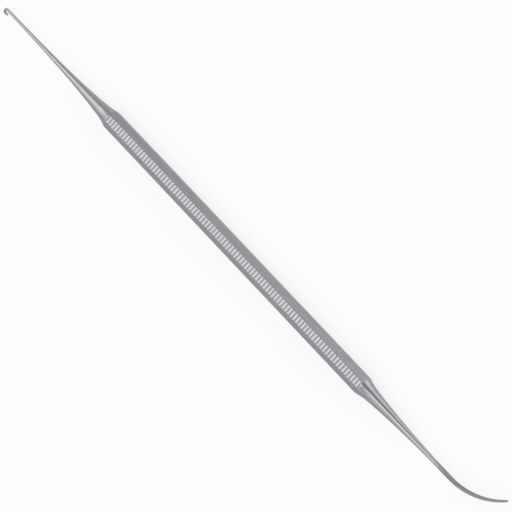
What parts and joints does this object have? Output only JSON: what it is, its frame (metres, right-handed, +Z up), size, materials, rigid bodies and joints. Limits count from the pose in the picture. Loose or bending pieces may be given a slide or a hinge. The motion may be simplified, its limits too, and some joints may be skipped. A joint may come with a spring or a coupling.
{
  "type": "phlebectomy hook",
  "caption": "Slender steel hand instrument with an octagonal cross-grooved handle, round tapered shanks, a tiny curled hook at one tip and a curved flat dissector blade at the other.",
  "frame": {"origin": "middle of the lower serrated flat, which the handle lies on", "axes": "+X along the handle from the hook to the dissector, +Z up out of the upper serrated flat, +Y towards the side that the dissector curves to"},
  "size_m": [0.1811, 0.0088, 0.0049],
  "materials": {
    "stainless_steel": "satin, fine glass-blasted and brushed"
  },
  "bodies": {
    "root": {"phlebectomy_hook": "stainless_steel"}
  },
  "joints": []
}
